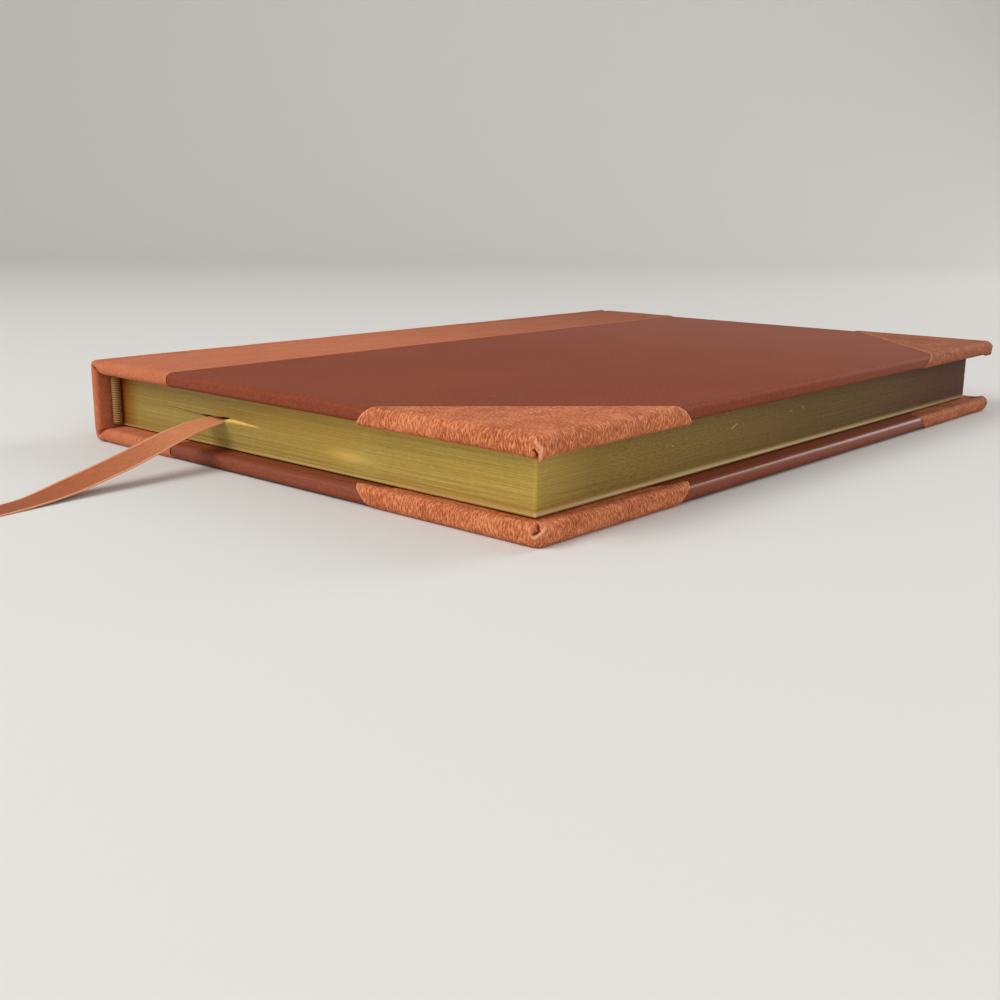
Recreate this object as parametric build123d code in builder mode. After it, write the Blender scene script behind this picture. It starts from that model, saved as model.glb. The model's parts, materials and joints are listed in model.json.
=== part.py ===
from build123d import *
import math
import os

# A half-leather journal, closed and lying on its back cover. The origin is under the
# middle of the book on the table, +X runs from the spine to the fore-edge, +Y from the
# tail to the head and +Z up. All sizes are in millimetres.

# Pages and endpapers
page_width = 142.2
page_height = 204.4
page_stack = 12.5
flyleaf_thickness = 0.3
pastedown_thickness = 0.2
closing_gap = 0.2

# Covers: boards, the leather on them and how far it is turned in over their edges
square = 5.8
board_thickness = 2.1
cover_edge_radius = 1.8
cover_inner_radius = 1.4
corner_rounding = 0.8
leather_thickness = 1.0
side_thickness = 0.7
turn_in_thickness = 0.6
turn_in_width = 14.0
pastedown_reveal = 7.0
spine_leather_reach = 35.0
corner_leg = 46.0

# Spine: a card strip in the leather, a hollow, and the lining glued on the page folds
strip_thickness = 1.4
lining_thickness = 0.5
hollow_gap = 0.5
spine_edge_radius = 2.2

# Joint groove, where the leather bends about the hinge line
groove_radius = 1.2
hinge_rise = 0.6
joint_clearance = 0.15
hinge_slit = 0.2

# Headbands: a wound bead on the edge of a tape
bead_radius = 1.2
bead_end_radius = 0.4
tape_height = 8.0
tape_overlap = 0.3

# Ribbon marker: glued in by the head, out between the pages at the tail
ribbon_width = 7.0
ribbon_thickness = 0.3
ribbon_slot_clearance = 0.1
ribbon_side_clearance = 0.6
ribbon_gutter_gap = 2.0
ribbon_head_gap = 4.0
ribbon_exit_from_spine = 46.6
ribbon_heading = 7.8
ribbon_bias = 5.0
mouth_left = 27.0
mouth_right = 31.0
mouth_rise = 0.65
mouth_depth = 9.0

# Route of the ribbon's free end: distance from the tail of the pages along its heading,
# and height above the table
ribbon_route = [
    (-7.5, 10.65),
    (1.5, 10.65),
    (12.5, 8.8),
    (24.0, 5.7),
    (36.0, 3.1),
    (47.5, 1.0),
    (57.0, 0.2),
    (66.0, 0.16),
]

# Overall sizes and the places that follow from them
cover_thickness = leather_thickness + board_thickness + turn_in_thickness
book_thickness = page_stack + 2 * (
    flyleaf_thickness + closing_gap + pastedown_thickness + cover_thickness
)
spine_wall = leather_thickness + strip_thickness + turn_in_thickness
block_setback = spine_wall + hollow_gap + lining_thickness
cover_width = block_setback + page_width + square
cover_height = page_height + 2 * square
half_height = cover_height / 2
spine_x = -cover_width / 2
fore_x = cover_width / 2
block_x = spine_x + block_setback
page_middle_x = block_x + page_width / 2
strip_border_x = spine_x + spine_leather_reach

board_top = book_thickness - leather_thickness
board_bottom = board_top - board_thickness
cover_inside = board_bottom - turn_in_thickness
pages_bottom = book_thickness / 2 - page_stack / 2
pages_top = book_thickness / 2 + page_stack / 2
mid_plane = Plane.XY.offset(book_thickness / 2)

trough_radius = groove_radius + leather_thickness
trough_half = math.sqrt(trough_radius**2 - (hinge_rise + leather_thickness) ** 2)
hinge_x = spine_x + spine_wall + joint_clearance + trough_half
hinge_z = book_thickness + hinge_rise
board_x = hinge_x + trough_half + joint_clearance
joint_inside = book_thickness - leather_thickness - turn_in_thickness
edge_radius = min(cover_edge_radius, 0.45 * cover_thickness)
inner_radius = min(cover_inner_radius, 0.45 * cover_thickness)
corner_radius = edge_radius + corner_rounding

os.makedirs("parts", exist_ok=True)


def rectangle_between(x_low, x_high, y_low, y_high, mode=Mode.ADD):
    """A rectangle given by its limits on the sketch's own axes."""
    with Locations(((x_low + x_high) / 2, (y_low + y_high) / 2)):
        return Rectangle(x_high - x_low, y_high - y_low, mode=mode)


def board_outline(near_x, margin):
    """The cover's outline set in by a margin, square at near_x and round at its corners."""
    reach = half_height - margin
    with BuildSketch(mode=Mode.PRIVATE) as outline:
        rectangle_between(near_x, fore_x - margin, -reach, reach)
        fillet(outline.vertices().group_by(Axis.X)[-1], corner_radius - margin)
    return outline.sketch


def rounded_slab(near_x, skin):
    """The board with a skin on its face and edges and a turn-in's thickness inside.

    It starts square at near_x, and its head, tail and fore-edge are rounded."""
    margin = leather_thickness - skin
    with BuildPart() as slab:
        with BuildSketch(Plane.XY.offset(cover_inside)):
            add(board_outline(near_x, margin))
        extrude(amount=cover_thickness - margin)
        for face, radius in ((-1, edge_radius), (0, inner_radius)):
            rims = slab.faces().sort_by(Axis.Z)[face].edges().sort_by(Axis.X)[1:]
            fillet(rims, radius - margin)
    return slab.part


def wrapped_skin(near_x, skin):
    """A leather skin over the front board, turned in over its three outer edges."""
    with BuildPart() as wrap:
        add(rounded_slab(near_x, skin))
        add(front_board.part, mode=Mode.SUBTRACT)
        with BuildSketch(Plane.XY.offset(cover_inside)):
            reach = half_height - turn_in_width
            rectangle_between(spine_x, fore_x - turn_in_width, -reach, reach)
        extrude(amount=turn_in_thickness, mode=Mode.SUBTRACT)
    return wrap.part


def trough_half_section(side):
    """Half of the leather's round dip under one hinge line, on the given side of it."""
    with Locations((hinge_x, hinge_z)):
        Circle(trough_radius)
    inner = hinge_x + side * hinge_slit / 2
    outer = hinge_x + side * trough_radius
    limits = sorted((inner, outer))
    rectangle_between(*limits, board_bottom, book_thickness, mode=Mode.INTERSECT)


# Board, cut square all round
with BuildPart() as front_board:
    with BuildSketch(Plane.XY.offset(board_bottom)):
        add(board_outline(board_x, leather_thickness))
    extrude(amount=board_thickness)

# Spine leather on the front cover, from the hinge line to its border, with the joint
# thinned to the leather alone and shaped round the hinge line
with BuildPart() as front_spine_leather:
    add(wrapped_skin(hinge_x + hinge_slit / 2, leather_thickness))
    split(bisect_by=Plane((strip_border_x, 0, 0), z_dir=(-1, 0, 0)))
    with BuildSketch(Plane.XZ):
        with BuildLine():
            Polyline(
                (spine_x, joint_inside),
                (hinge_x + groove_radius / 2, joint_inside),
                (board_x, cover_inside),
                (spine_x, cover_inside),
                close=True,
            )
        make_face()
    extrude(amount=half_height, both=True, mode=Mode.SUBTRACT)
    with BuildSketch(Plane.XZ):
        rectangle_between(spine_x, board_x, cover_inside, board_top)
    extrude(amount=half_height - turn_in_width, both=True, mode=Mode.SUBTRACT)
    with BuildSketch(Plane.XZ):
        trough_half_section(1)
    extrude(amount=half_height - edge_radius, both=True)
    with BuildSketch(Plane.XZ):
        with Locations((hinge_x, hinge_z)):
            Circle(groove_radius)
    extrude(amount=half_height, both=True, mode=Mode.SUBTRACT)

# Corner pieces: a straight cut across each outer corner, which runs on at 45 degrees
# where the leather folds over the board's edges
corner_planes = {}
for end, side in (("tail", -1), ("head", 1)):
    corner_planes[end] = Plane(
        (fore_x - corner_leg, side * half_height, book_thickness), z_dir=(-1, -side, 1)
    )

front_corners = {}
for end, plane in corner_planes.items():
    with BuildPart() as front_corner:
        add(wrapped_skin(strip_border_x, leather_thickness))
        split(bisect_by=plane, keep=Keep.BOTTOM)
    front_corners[end] = front_corner.part

# Smooth leather side, thinner than the spine leather and corners that frame it
with BuildPart() as front_side_panel:
    add(wrapped_skin(strip_border_x, side_thickness))
    for plane in corner_planes.values():
        split(bisect_by=plane)

# Card lining that fills the board's inside between the turn-ins, and the pastedown on it
with BuildPart() as front_board_lining:
    with BuildSketch(Plane.XY.offset(cover_inside)):
        lining_reach = half_height - turn_in_width
        rectangle_between(board_x, fore_x - turn_in_width, -lining_reach, lining_reach)
    extrude(amount=turn_in_thickness)

with BuildPart() as front_pastedown:
    with BuildSketch(Plane.XY.offset(cover_inside)):
        paper_reach = half_height - pastedown_reveal
        rectangle_between(board_x, fore_x - pastedown_reveal, -paper_reach, paper_reach)
    extrude(amount=-pastedown_thickness)

front_pieces = {
    "board": front_board.part,
    "spine_leather": front_spine_leather.part,
    "corner_tail": front_corners["tail"],
    "corner_head": front_corners["head"],
    "side_panel": front_side_panel.part,
    "board_lining": front_board_lining.part,
    "pastedown": front_pastedown.part,
}

# Card strip that stiffens the spine
with BuildPart() as spine_strip:
    with BuildSketch(Plane.XZ) as strip_section:
        strip_x = spine_x + leather_thickness
        rectangle_between(
            strip_x, strip_x + strip_thickness, leather_thickness, board_top
        )
        outer_corners = strip_section.vertices().group_by(Axis.X)[0]
        fillet(outer_corners, min(spine_edge_radius, spine_wall) - leather_thickness)
    extrude(amount=half_height - leather_thickness, both=True)

# Spine leather: wraps the strip, is turned in at the head and tail, and reaches both
# hinge lines
with BuildPart() as spine_leather:
    with BuildSketch(Plane.XZ) as spine_section:
        rectangle_between(spine_x, hinge_x - hinge_slit / 2, 0, book_thickness)
        fillet(spine_section.vertices().group_by(Axis.X)[0], spine_edge_radius)
    extrude(amount=half_height, both=True)
    for end in (0, -1):
        end_face = spine_leather.faces().sort_by(Axis.Y)[end]
        fillet(end_face.edges().sort_by(Axis.X)[:-1], edge_radius)
    with BuildSketch(Plane.XZ):
        rectangle_between(
            spine_x + spine_wall, hinge_x, book_thickness - joint_inside, joint_inside
        )
    extrude(amount=half_height, both=True, mode=Mode.SUBTRACT)
    with BuildSketch(Plane.XZ):
        rectangle_between(
            spine_x + leather_thickness + strip_thickness,
            hinge_x,
            leather_thickness,
            board_top,
        )
    extrude(amount=half_height - turn_in_width, both=True, mode=Mode.SUBTRACT)
    add(spine_strip.part, mode=Mode.SUBTRACT)
    with BuildSketch(Plane.XZ):
        trough_half_section(-1)
        mirror(about=Plane.XZ.offset(-book_thickness / 2))
    extrude(amount=half_height - edge_radius, both=True)
    with BuildSketch(Plane.XZ):
        with Locations((hinge_x, hinge_z), (hinge_x, book_thickness - hinge_z)):
            Circle(groove_radius)
    extrude(amount=half_height, both=True, mode=Mode.SUBTRACT)

# Plan of the ribbon where it lies between the pages
exit_x = spine_x + ribbon_exit_from_spine
tail_of_pages = -page_height / 2
ribbon_z = book_thickness / 2
gutter_end = (
    block_x + ribbon_gutter_gap + ribbon_width / 2,
    page_height / 2 - ribbon_head_gap,
)
exit_point = (exit_x, tail_of_pages)

# Pages: one block, parted for the ribbon and lifted a little where it comes out
with BuildPart() as text_block:
    with BuildSketch(Plane.XY.offset(pages_bottom)):
        with Locations((page_middle_x, 0)):
            Rectangle(page_width, page_height)
    extrude(amount=page_stack)
    with BuildSketch(Plane.XY.offset(ribbon_z)):
        with BuildLine():
            Line(gutter_end, exit_point)
        trace(line_width=ribbon_width + 2 * ribbon_side_clearance)
    extrude(
        amount=ribbon_thickness / 2 + ribbon_slot_clearance,
        both=True,
        mode=Mode.SUBTRACT,
    )
    with BuildSketch(Plane.XZ.offset(-tail_of_pages)):
        with BuildLine():
            left_end = (exit_x - mouth_left, ribbon_z)
            right_end = (exit_x + mouth_right, ribbon_z)
            ThreePointArc(left_end, (exit_x, ribbon_z + mouth_rise), right_end)
            ThreePointArc(right_end, (exit_x, ribbon_z - mouth_rise), left_end)
        make_face()
    extrude(amount=-mouth_depth, mode=Mode.SUBTRACT)

# Free leaves of the endpapers, glued along the spine edge of the first and last pages
with BuildPart() as front_flyleaf:
    with BuildSketch(Plane.XY.offset(pages_top)):
        with Locations((page_middle_x, 0)):
            Rectangle(page_width, page_height)
    extrude(amount=flyleaf_thickness)

with BuildPart() as back_flyleaf:
    mirror(front_flyleaf.part, about=mid_plane)

# Lining on the page folds, between the tapes of the two headbands
with BuildPart() as spine_lining:
    with BuildSketch(Plane.XZ):
        rectangle_between(block_x - lining_thickness, block_x, pages_bottom, pages_top)
    extrude(amount=page_height / 2 - tape_height, both=True)

# Headbands: a bead at each end of the page folds, on a tape that is glued down the folds
headbands = {}
bead_x = block_x + bead_radius - tape_overlap
for end, side in (("tail", -1), ("head", 1)):
    bead_y = side * (page_height / 2 + bead_radius)
    tape_y = side * (page_height / 2 - tape_height)
    with BuildPart() as headband:
        with BuildSketch(Plane.XY.offset(pages_bottom)):
            with Locations((bead_x, bead_y)):
                Circle(bead_radius)
        extrude(amount=page_stack)
        fillet(headband.edges().filter_by(GeomType.CIRCLE), bead_end_radius)
        with BuildSketch(Plane.XY.offset(pages_bottom)):
            tape_limits = sorted((bead_y, tape_y))
            rectangle_between(block_x - lining_thickness, block_x, *tape_limits)
        extrude(amount=page_stack)
    headbands[end] = headband.part

# Ribbon: flat between the pages, then in one easy fall to the table, with a slanting cut
route = [Vector(*point) for point in ribbon_route]
bend_radii = []
for before, corner, after in zip(route, route[1:], route[2:]):
    half_turn = math.radians((corner - before).get_angle(after - corner)) / 2
    shorter_run = min((corner - before).length, (after - corner).length)
    bend_radii.append(0.45 * shorter_run / math.tan(half_turn))
print("ribbon bend radii", [round(radius) for radius in bend_radii])

heading = math.radians(ribbon_heading)
along = Vector(math.sin(heading), -math.cos(heading), 0)
across = Vector(math.cos(heading), math.sin(heading), 0)
fall_plane = Plane((exit_x, tail_of_pages, 0), x_dir=along, z_dir=-across)
cut_centre = Vector(exit_x, tail_of_pages, 0) + along * (route[-1].X - ribbon_bias / 2)
cut_plane = Plane(cut_centre, z_dir=along * ribbon_width - across * ribbon_bias)

with BuildPart() as ribbon_marker:
    with BuildSketch(fall_plane):
        with BuildLine():
            FilletPolyline(route, radius=bend_radii)
        trace(line_width=ribbon_thickness)
    extrude(amount=ribbon_width / 2, both=True)
    split(bisect_by=cut_plane, keep=Keep.BOTTOM)
    with BuildSketch(Plane.XY.offset(ribbon_z)):
        with BuildLine():
            Line(gutter_end, exit_point)
        trace(line_width=ribbon_width)
    extrude(amount=ribbon_thickness / 2, both=True)

block_pieces = {
    "text_block": text_block.part,
    "front_flyleaf": front_flyleaf.part,
    "back_flyleaf": back_flyleaf.part,
    "headband_tail": headbands["tail"],
    "headband_head": headbands["head"],
    "spine_lining": spine_lining.part,
    "spine_strip": spine_strip.part,
    "spine_leather": spine_leather.part,
    "ribbon_marker": ribbon_marker.part,
}

for name, piece in block_pieces.items():
    piece.label = name
    export_step(piece, f"parts/{name}.step")

# The back cover mirrors the front one
for name, piece in front_pieces.items():
    piece.label = f"front_{name}"
    export_step(piece, f"parts/front_{name}.step")
    with BuildPart() as back_piece:
        mirror(piece, about=mid_plane)
    back_piece.part.label = f"back_{name}"
    export_step(back_piece.part, f"parts/back_{name}.step")
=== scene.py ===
import json
from functools import partial

import bmesh
import bpy
import numpy as np
from mathutils import Matrix, Vector


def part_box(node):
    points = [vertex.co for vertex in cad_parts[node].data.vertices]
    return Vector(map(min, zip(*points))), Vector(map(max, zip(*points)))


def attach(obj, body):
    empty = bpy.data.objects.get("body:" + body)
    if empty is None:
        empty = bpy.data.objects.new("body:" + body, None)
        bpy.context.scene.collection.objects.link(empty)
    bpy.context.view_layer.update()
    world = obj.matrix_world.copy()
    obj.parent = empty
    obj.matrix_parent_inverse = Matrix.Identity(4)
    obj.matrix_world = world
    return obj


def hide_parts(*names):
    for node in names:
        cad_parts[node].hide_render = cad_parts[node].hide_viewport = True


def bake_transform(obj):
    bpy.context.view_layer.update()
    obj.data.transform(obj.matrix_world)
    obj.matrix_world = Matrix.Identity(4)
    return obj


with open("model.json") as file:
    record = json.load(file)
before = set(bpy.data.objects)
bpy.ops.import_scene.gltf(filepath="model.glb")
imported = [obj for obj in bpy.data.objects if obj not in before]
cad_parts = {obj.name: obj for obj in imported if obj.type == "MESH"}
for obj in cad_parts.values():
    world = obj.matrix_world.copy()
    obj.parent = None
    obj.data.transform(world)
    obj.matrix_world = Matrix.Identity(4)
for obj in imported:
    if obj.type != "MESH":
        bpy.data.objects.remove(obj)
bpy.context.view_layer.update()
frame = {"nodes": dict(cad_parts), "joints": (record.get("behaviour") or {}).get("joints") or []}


# Pages: about a hundred leaves, sewn and trimmed as one block, with gold leaf burnished
# on the tail, fore-edge and head. They part at the tail, where the ribbon comes out.
page_low, page_high = np.array(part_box("text_block"))
page_middle = (page_low[2] + page_high[2]) / 2
page_corner_radius, corner_steps = 0.0008, 7
page_column_spacing = 0.0012
page_rows = 38
ribbon_exit = np.array((-0.0294, page_low[1], page_middle))
mouth_half, mouth_close = 0.0033, 0.0035
mouth_lift, mouth_drop, mouth_depth = 0.00035, 0.00030, 0.007
slit_levels, slit_depths = (0.1, 0.42, 0.58, 0.9), (0.4, 1, 1, 0.4)
seam_length, seam_gap, seam_depth, seam_lean = 0.031, 0.00016, 0.0006, 0.2
fan_length, fan_depth = 0.0140, 0.0003
fan_below, fan_above = 0.0008, 0.0024
parting_x = (-0.072, -0.066, -0.045, -0.033, -0.0294, -0.0250, -0.0130, 0.0100)
parting_z = (0.01065, 0.0120, 0.0114, 0.0109, 0.0107, 0.0113, 0.0109, 0.01065)
leaf_setback, leaf_seed = 0.00004, 3
ripple_setback, ripple_length, ripple_rise, ripple_seed = 0.00003, 0.014, 0.0003, 5
# Painted glint: a soft pale patch on the tail where light catches the gilt.
glint_x, glint_z, glint_length, glint_height, glint_strength = 0.0185, 0.0083, 0.0065, 0.0012, 0.5
# Painted highlight: a pale band just below the lower lip of the parting, right of the ribbon.
painted_highlight_start, painted_highlight_run, painted_highlight_drop = 0.0025, 0.002, 0.0003
painted_highlight_half, painted_highlight_widening = 0.0001, 0.0006
rub_height, corner_rub = 0.0015, 0.25
bare_height, fore_bare, tail_bare = 0.0007, 1.3, 0.5
# Wear, painted shade and painted reflection along the fore-edge, from the tail to the head,
# and along the tail, from the spine to the fore-edge: shares of the way, and how much there
# is of it there. The foot tables are wear, the next two are painted shade and the last a
# painted reflection of the leather.
fore_foot, tail_foot = ((0, 0.6, 1), (0.6, 0.45, 0.15)), ((0, 0.5, 1), (0.05, 0.3, 0.5))
# Painted shade: the fore-edge darker towards the head, the other edges towards the spine.
fore_painted_shade = ((0, 0.09, 0.5, 1), (0.15, 0.55, 0.84, 1))
tail_painted_shade = ((0, 0.3, 0.6, 1), (0.42, 0.38, 0.16, 0.03))
# Painted reflection: orange at the fore-edge's head end and the tail's spine end, for the leather
# mirrored in the gilt.
fore_painted_reflection, tail_painted_reflection = ((0.72, 1), (0, 1)), ((0.02, 0.065), (0.95, 0))
merge_distance = 1e-7
crease_angle = np.radians(55)


def hex_colour(text):
    """An sRGB hex colour as linear red, green, blue and alpha."""
    srgb = np.array([int(text[i : i + 2], 16) for i in (1, 3, 5)]) / 255
    linear = np.where(srgb <= 0.04045, srgb / 12.92, ((srgb + 0.055) / 1.055) ** 2.4)
    return (*linear, 1.0)


def set_inputs(node, inputs):
    """Gives inputs their values, or links them to a socket or to a node's first output."""
    for name, value in inputs.items():
        if isinstance(value, bpy.types.Node):
            value = value.outputs[0]
        if isinstance(value, bpy.types.NodeSocket):
            node.id_data.links.new(value, node.inputs[name])
        else:
            node.inputs[name].default_value = value


def add_node(tree, kind, inputs=None, **settings):
    """A new node with its settings and its inputs."""
    node = tree.nodes.new(kind)
    for name, value in settings.items():
        setattr(node, name, value)
    set_inputs(node, inputs or {})
    return node


def new_material(name):
    """A material, the call that adds its nodes, its shader and its Object coordinates."""
    material = bpy.data.materials.new(name)
    material.use_nodes = True
    add = partial(add_node, material.node_tree)
    shader = material.node_tree.nodes["Principled BSDF"]
    return material, add, shader, add("ShaderNodeTexCoord").outputs["Object"]


def ramp_stops(node, stops):
    """Gives a colour ramp its stops, as pairs of position and sRGB hex colour."""
    elements = node.color_ramp.elements
    while len(elements) < len(stops):
        elements.new(0.5)
    for element, (position, colour) in zip(elements, stops):
        element.position = position
        element.color = hex_colour(colour)


def lattice_noise(u, v, seed):
    """Noise from -1 to 1: random values on a whole-number lattice, eased between points."""
    values = np.random.default_rng(seed).uniform(-1, 1, (256, 256))
    iu, iv = np.floor(u).astype(int), np.floor(v).astype(int)
    fu, fv = u - iu, v - iv
    fu, fv = fu * fu * (3 - 2 * fu), fv * fv * (3 - 2 * fv)
    near = values[iu % 256, iv % 256] * (1 - fu) + values[(iu + 1) % 256, iv % 256] * fu
    far = values[iu % 256, (iv + 1) % 256] * (1 - fu)
    far = far + values[(iu + 1) % 256, (iv + 1) % 256] * fu
    return near * (1 - fv) + far * fv


def on_grid(*coordinates):
    """A grid's points, from coordinates that may each vary along one way only."""
    return np.stack(np.broadcast_arrays(*coordinates), axis=-1)


def grid_faces(rows, columns, closed=False, flip=False):
    """Quads of a grid of points stored row by row, joined round its columns if closed."""
    row, column = np.meshgrid(
        np.arange(rows - 1), np.arange(columns if closed else columns - 1), indexing="ij"
    )
    after = (column + 1) % columns
    quads = np.stack(
        (
            row * columns + column,
            row * columns + after,
            (row + 1) * columns + after,
            (row + 1) * columns + column,
        ),
        axis=-1,
    ).reshape(-1, 4)
    return quads[:, ::-1] if flip else quads


def tube_faces(rows, columns, flip=False):
    """Quads of a grid that is closed round its columns, and a face over each end."""
    first, last = list(range(columns)), list(range((rows - 1) * columns, rows * columns))
    ends = [first, last[::-1]] if flip else [first[::-1], last]
    return grid_faces(rows, columns, closed=True, flip=flip).tolist() + ends


def new_piece(name, points, faces, material, attributes=None, uv=None):
    """A smooth mesh piece, with point attributes and a UV map, and its doubles merged."""
    mesh = bpy.data.meshes.new(name)
    mesh.from_pydata(points.reshape(-1, 3).tolist(), [], [list(face) for face in faces])
    for label, values in (attributes or {}).items():
        layer = mesh.attributes.new(label, "FLOAT", "POINT")
        shares = np.broadcast_to(values, points.shape[:-1])
        layer.data.foreach_set("value", shares.astype(np.float32).ravel())
    if uv is not None:
        corners = np.empty(len(mesh.loops), np.int32)
        mesh.loops.foreach_get("vertex_index", corners)
        layer = mesh.uv_layers.new(name="surface")
        layer.data.foreach_set("uv", uv.astype(np.float32).reshape(-1, 2)[corners].ravel())
    shape = bmesh.new()
    shape.from_mesh(mesh)
    bmesh.ops.remove_doubles(shape, verts=shape.verts, dist=merge_distance)
    bmesh.ops.dissolve_degenerate(shape, edges=shape.edges, dist=merge_distance)
    shape.to_mesh(mesh)
    shape.free()
    mesh.shade_smooth()
    mesh.set_sharp_from_angle(angle=crease_angle)
    mesh.materials.append(material)
    piece = bpy.data.objects.new(name, mesh)
    bpy.context.scene.collection.objects.link(piece)
    return piece


def rounded_outline(low, high, radius, spacing):
    """Points and outward normals round a rectangle with quarter-circle corners.

    Each corner's arc is followed by the straight side to the next corner."""
    centres = np.array(
        ((low[0], low[1]), (high[0], low[1]), (high[0], high[1]), (low[0], high[1]))
    ) + radius * np.array(((1, 1), (-1, 1), (-1, -1), (1, -1)))
    points, normals = [], []
    for corner in range(4):
        turn = np.pi + corner * np.pi / 2 + np.linspace(0, np.pi / 2, corner_steps)
        arc_normals = np.stack((np.cos(turn), np.sin(turn)), axis=-1)
        arc = centres[corner] + radius * arc_normals
        side_end = centres[(corner + 1) % 4] + radius * arc_normals[-1]
        count = 1 + int(np.linalg.norm(side_end - arc[-1]) / spacing)
        share = np.linspace(0, 1, count, endpoint=False)[1:, None]
        points += [arc, arc[-1] + share * (side_end - arc[-1])]
        normals += [arc_normals, np.repeat(arc_normals[-1:], count - 1, axis=0)]
    return np.concatenate(points), np.concatenate(normals)


def page_block():
    """Leaf edges carried round the block's outline.

    Each level is set back by a random leaf step and a ripple along the leaf. At the
    ribbon the levels bow apart round a pocket. Left of it a fine seam runs on, and right
    of it the leaves lean back to the parting. The lowest leaves and the upright corners
    are rubbed, and the foot is bare. A painted highlight below the lip of the parting and
    a painted glint on the tail are pale like the rubbing. The fore-edge dulls and is
    painted darker towards the head, and the other edges towards the spine, as shade. Its
    head end and the tail's spine end are painted orange, as a reflection of the leather."""
    outline, normal = rounded_outline(
        page_low[:2], page_high[:2], page_corner_radius, page_column_spacing
    )
    along = np.arange(len(outline)) * page_column_spacing
    on_tail = normal[:, 1] < -0.9
    from_exit = outline[:, 0] - ribbon_exit[0]
    opening = np.clip(1 - (np.abs(from_exit) - mouth_half) / mouth_close, 0, 1) ** 2 * on_tail
    seam = np.clip(1 + (from_exit + mouth_half) / seam_length, 0, 1) * (from_exit < 0) * on_tail
    fan = np.clip(1 - (from_exit - mouth_half) / fan_length, 0, 1) * (from_exit > 0) * on_tail
    parting = np.interp(outline[:, 0], parting_x, parting_z)
    parting = page_middle + (parting - page_middle) * np.clip(-normal[:, 1], 0, 1)
    share = np.linspace(0, 1, page_rows)[:, None]
    lower_lip = parting - mouth_drop * opening - seam_gap / 2 * seam
    upper_lip = parting + mouth_lift * opening + seam_gap / 2 * seam
    below = page_low[2] + share * (lower_lip - page_low[2])
    above = upper_lip + share * (page_high[2] - upper_lip)
    slit = lower_lip + np.array(slit_levels)[:, None] * (upper_lip - lower_lip)
    level = np.concatenate((below, slit, above))
    lean = fan_depth * np.maximum(fan, seam_lean * seam)
    pocket = mouth_depth * np.minimum(4 * opening, 1) + seam_depth * seam
    depth = np.concatenate(
        (
            lean * np.clip(1 - (lower_lip - below) / fan_below, 0, 1),
            lean + pocket * np.array(slit_depths)[:, None],
            lean * np.clip(1 - (above - upper_lip) / fan_above, 0, 1),
        )
    )
    leaf = np.random.default_rng(leaf_seed).uniform(0, leaf_setback, (len(level), 1))
    leaf[page_rows - 1 : page_rows + len(slit) + 1] = leaf[page_rows]
    ripple = lattice_noise(along[None, :] / ripple_length, level / ripple_rise, ripple_seed)
    depth += leaf + ripple_setback * (1 + ripple)
    flat = outline[None, :, :] - normal[None, :, :] * depth[:, :, None]
    points = np.concatenate((flat, level[:, :, None]), axis=-1)
    upright = np.abs(2 * normal[:, 0] * normal[:, 1]) ** 2
    to_head = (outline[:, 1] - page_low[1]) / (page_high[1] - page_low[1])
    to_fore = (outline[:, 0] - page_low[0]) / (page_high[0] - page_low[0])
    on_fore = normal[:, 0] > 0.5
    foot = np.where(on_fore, np.interp(to_head, *fore_foot), np.interp(to_fore, *tail_foot))
    from_foot = level - page_low[2]
    lowest = np.clip(1 - from_foot / rub_height, 0, 1) ** 1.5 * foot
    bare = np.clip(1.2 - from_foot / bare_height, 0, 1)
    bare = bare * np.where(on_fore, fore_bare, tail_bare) * foot
    # A painted glint on the tail, made pale like rubbing.
    from_glint = np.hypot((outline[:, 0] - glint_x) / glint_length, (level - glint_z) / glint_height)
    painted_glint = glint_strength * np.exp(-(from_glint**2)) * on_tail
    # A painted highlight below the lower lip, made pale like rubbing.
    off_painted_highlight = np.abs(lower_lip - level - painted_highlight_drop) / (painted_highlight_half + painted_highlight_widening * fan)
    painted_highlight = np.minimum(6 * fan, 1) * np.clip((from_exit - painted_highlight_start) / painted_highlight_run, 0, 1)
    painted_highlight = painted_highlight * np.clip(1 - off_painted_highlight, 0, 1)
    # Rubbing, with the painted highlight and glint added in.
    rubbed_and_highlight = np.maximum(np.maximum(lowest, corner_rub * upright), painted_highlight * (2 - painted_highlight))
    rubbed_and_highlight = np.maximum(rubbed_and_highlight, painted_glint)
    # Painted shade: darker and duller towards the head on the fore-edge, and towards the spine
    # elsewhere.
    dull_and_painted_shade = np.interp(to_head, *fore_painted_shade) * np.clip(normal[:, 0], 0, 1)
    dull_and_painted_shade = np.where(on_fore, dull_and_painted_shade, np.interp(to_fore, *tail_painted_shade))
    # Painted reflection of the leather, orange at those ends.
    painted_reflection = np.where(on_fore, np.interp(to_head, *fore_painted_reflection), np.interp(to_fore, *tail_painted_reflection))
    wear = {"rubbed_and_highlight": rubbed_and_highlight, "bare": bare, "dull_and_painted_shade": dull_and_painted_shade, "painted_reflection": painted_reflection}
    return points, tube_faces(*level.shape), gilt, wear


# Gold leaf on trimmed paper: a burnished metal film over fine leaf lines, so it mirrors
# along the leaves and blurs across them. Rubbed leaves are pale, with a few scratches, and a
# painted highlight and a painted glint are pale the same way. The foot is bare paper. The
# dull fore-edge is grainy and painted brown, and the tail painted darker by the spine, as
# shade. The fore-edge's head end and the tail's spine end are painted orange, as a
# reflection of the leather. The lines are 83 mm long and drawn 0.24 mm apart, to show, and
# the grains are 1.2 mm long and 0.28 mm apart.
leaf_lines_per_metre = (12.0, 12.0, 4200.0)
grains_per_metre = (800.0, 800.0, 3600.0)
warm_patch_size = 0.028
scratch_reach = 0.001
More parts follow.
